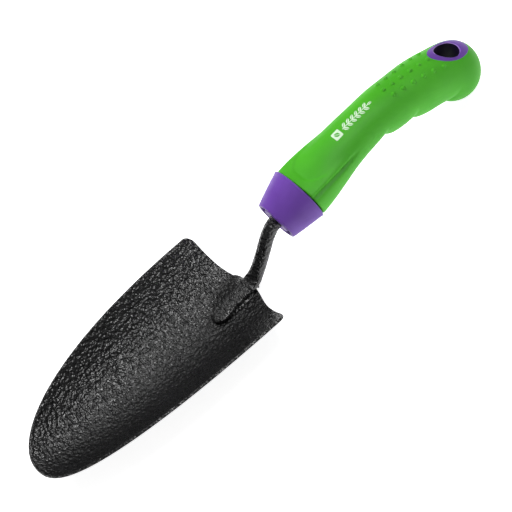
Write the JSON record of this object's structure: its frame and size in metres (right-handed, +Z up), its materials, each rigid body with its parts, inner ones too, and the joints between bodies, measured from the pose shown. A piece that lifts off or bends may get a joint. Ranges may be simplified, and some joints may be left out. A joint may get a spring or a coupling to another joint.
{
  "type": "hand trowel",
  "caption": "Hand trowel with a dished black hammer-coated blade, bent strap neck, purple handle core with a hang hole, and a green soft grip.",
  "frame": {"origin": "centre of the bounding box in X and Y, at its lowest point (the blade's belly)", "axes": "+X from the handle's end towards the blade's tip, +Y across the blade, +Z up out of the open side of the blade"},
  "size_m": [0.3348, 0.0822, 0.0541],
  "materials": {
    "black_coat": "textured",
    "purple_plastic": "satin",
    "green_rubber": "satin"
  },
  "bodies": {
    "root": {"blade": "black_coat", "shank": "black_coat", "weld_left": "black_coat", "weld_right": "black_coat", "weld_heel": "black_coat", "collar": "purple_plastic", "handle_core": "purple_plastic", "grip_sleeve": "green_rubber", "hang_liner": "purple_plastic"}
  },
  "joints": []
}
